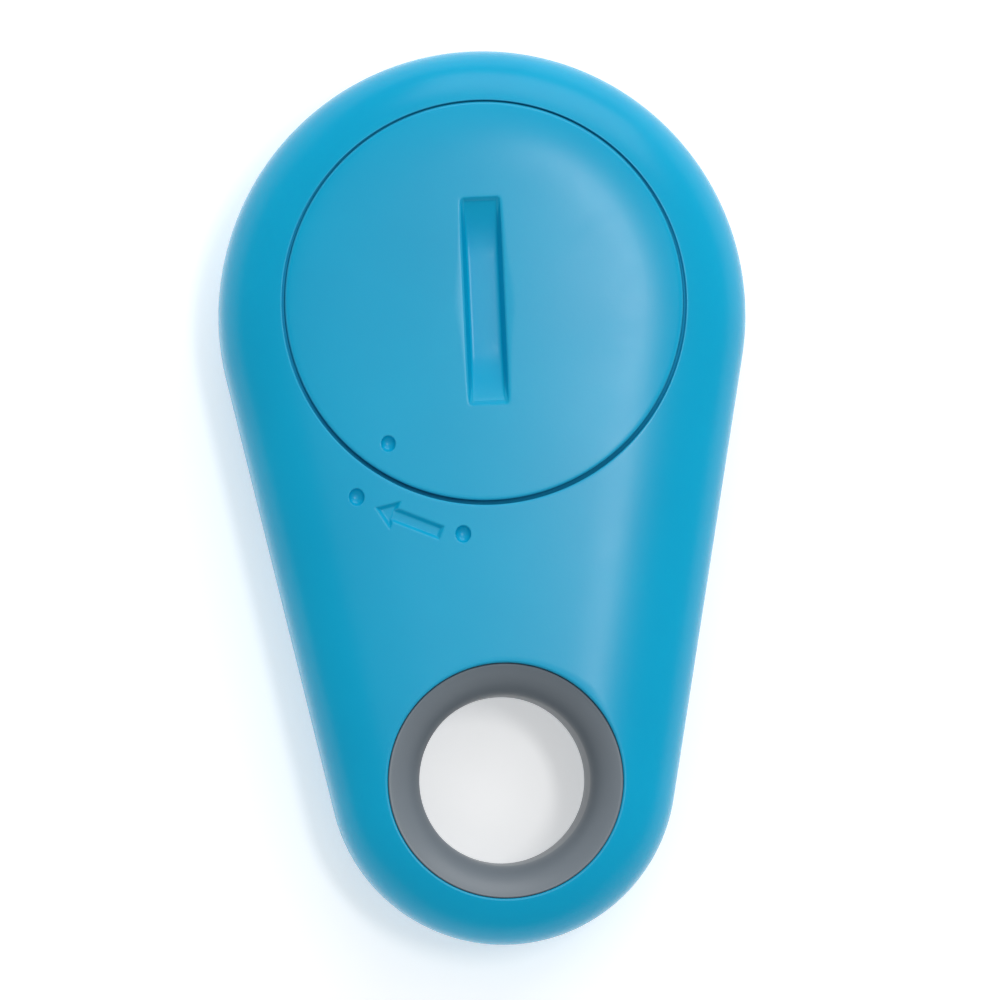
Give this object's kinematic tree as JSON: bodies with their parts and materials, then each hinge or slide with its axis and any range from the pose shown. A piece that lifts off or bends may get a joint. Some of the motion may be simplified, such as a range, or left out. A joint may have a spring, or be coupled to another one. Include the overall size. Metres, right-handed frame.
{
  "type": "bluetooth tracker tag",
  "caption": "Teardrop key-finder tag: two light-blue shells, a turn-to-lock coin-cell door with a coin slot, and a grey keyring eyelet at the narrow end.",
  "frame": {"origin": "under the centre of the outline, on the front (button) face that the tag lies on", "axes": "+X across the width, +Y along the tag from the keyring eyelet to the round head, +Z from the front (button) face up to the rear (battery door) face"},
  "size_m": [0.0306, 0.052, 0.011],
  "materials": {
    "blue_plastic": "satin injection-moulded ABS, light blue",
    "grey_plastic": "satin grey moulded plastic",
    "button_plastic": "satin moulded plastic, same blue as the shells",
    "clear_plastic": "frosted clear polycarbonate",
    "board": "green solder mask",
    "copper": "copper",
    "chip_black": "black moulding compound",
    "tinned_metal": "tin plated",
    "ceramic_tan": "tan ceramic",
    "steel": "nickel-plated steel",
    "ferrite": "dark grey ferrite",
    "white_plastic": "white moulded plastic",
    "magnet": "sintered magnet",
    "lithium": "lithium foil",
    "paper_white": "separator felt",
    "cathode_black": "pressed manganese dioxide",
    "spring_metal": "gold-flashed spring bronze"
  },
  "bodies": {
    "housing": {"front_shell": "blue_plastic", "rear_shell": "blue_plastic", "eyelet_ring": "grey_plastic", "light_pipe": "clear_plastic", "circuit_board": "board", "antenna_trace": "copper", "bluetooth_chip": "chip_black", "chip_leads": "tinned_metal", "chip_capacitors": "ceramic_tan", "chip_resistors": "chip_black", "chip_terminations": "tinned_metal", "crystal": "steel", "boost_inductor": "ferrite", "status_led_base": "white_plastic", "status_led_lens": "clear_plastic", "switch_base": "chip_black", "switch_frame": "steel", "switch_terminals": "tinned_metal", "buzzer_base": "board", "buzzer_case": "chip_black", "buzzer_magnet": "magnet", "buzzer_core": "steel", "buzzer_coil": "copper", "buzzer_diaphragm": "steel", "buzzer_terminals": "tinned_metal", "battery_can": "steel", "battery_cap": "steel", "battery_gasket": "white_plastic", "battery_anode": "lithium", "battery_separator": "paper_white", "battery_cathode": "cathode_black", "positive_contact": "spring_metal", "negative_contact": "spring_metal"},
    "door": {"battery_door": "blue_plastic"},
    "button": {"push_button": "button_plastic"},
    "plunger": {"switch_plunger": "white_plastic", "switch_dome": "steel"}
  },
  "joints": [
    {"name": "door_turn", "type": "hinge", "parent": "housing", "child": "door", "pos_m": [0, 0.01132, 0.0099], "axis": [0, 0, 1], "range_deg": [0, 28]},
    {"name": "button_press", "type": "slide", "parent": "housing", "child": "button", "axis": [0, 0, 1], "range_m": [0, 0.00025], "stiffness_N_per_m": 6000},
    {"name": "switch_press", "type": "slide", "parent": "housing", "child": "plunger", "axis": [0, 0, 1], "range_m": [0, 0.00025], "deforming": ["switch_dome"]}
  ],
  "couplings": [
    {"joint": "switch_press", "follows": "button_press", "ratio": 1}
  ]
}
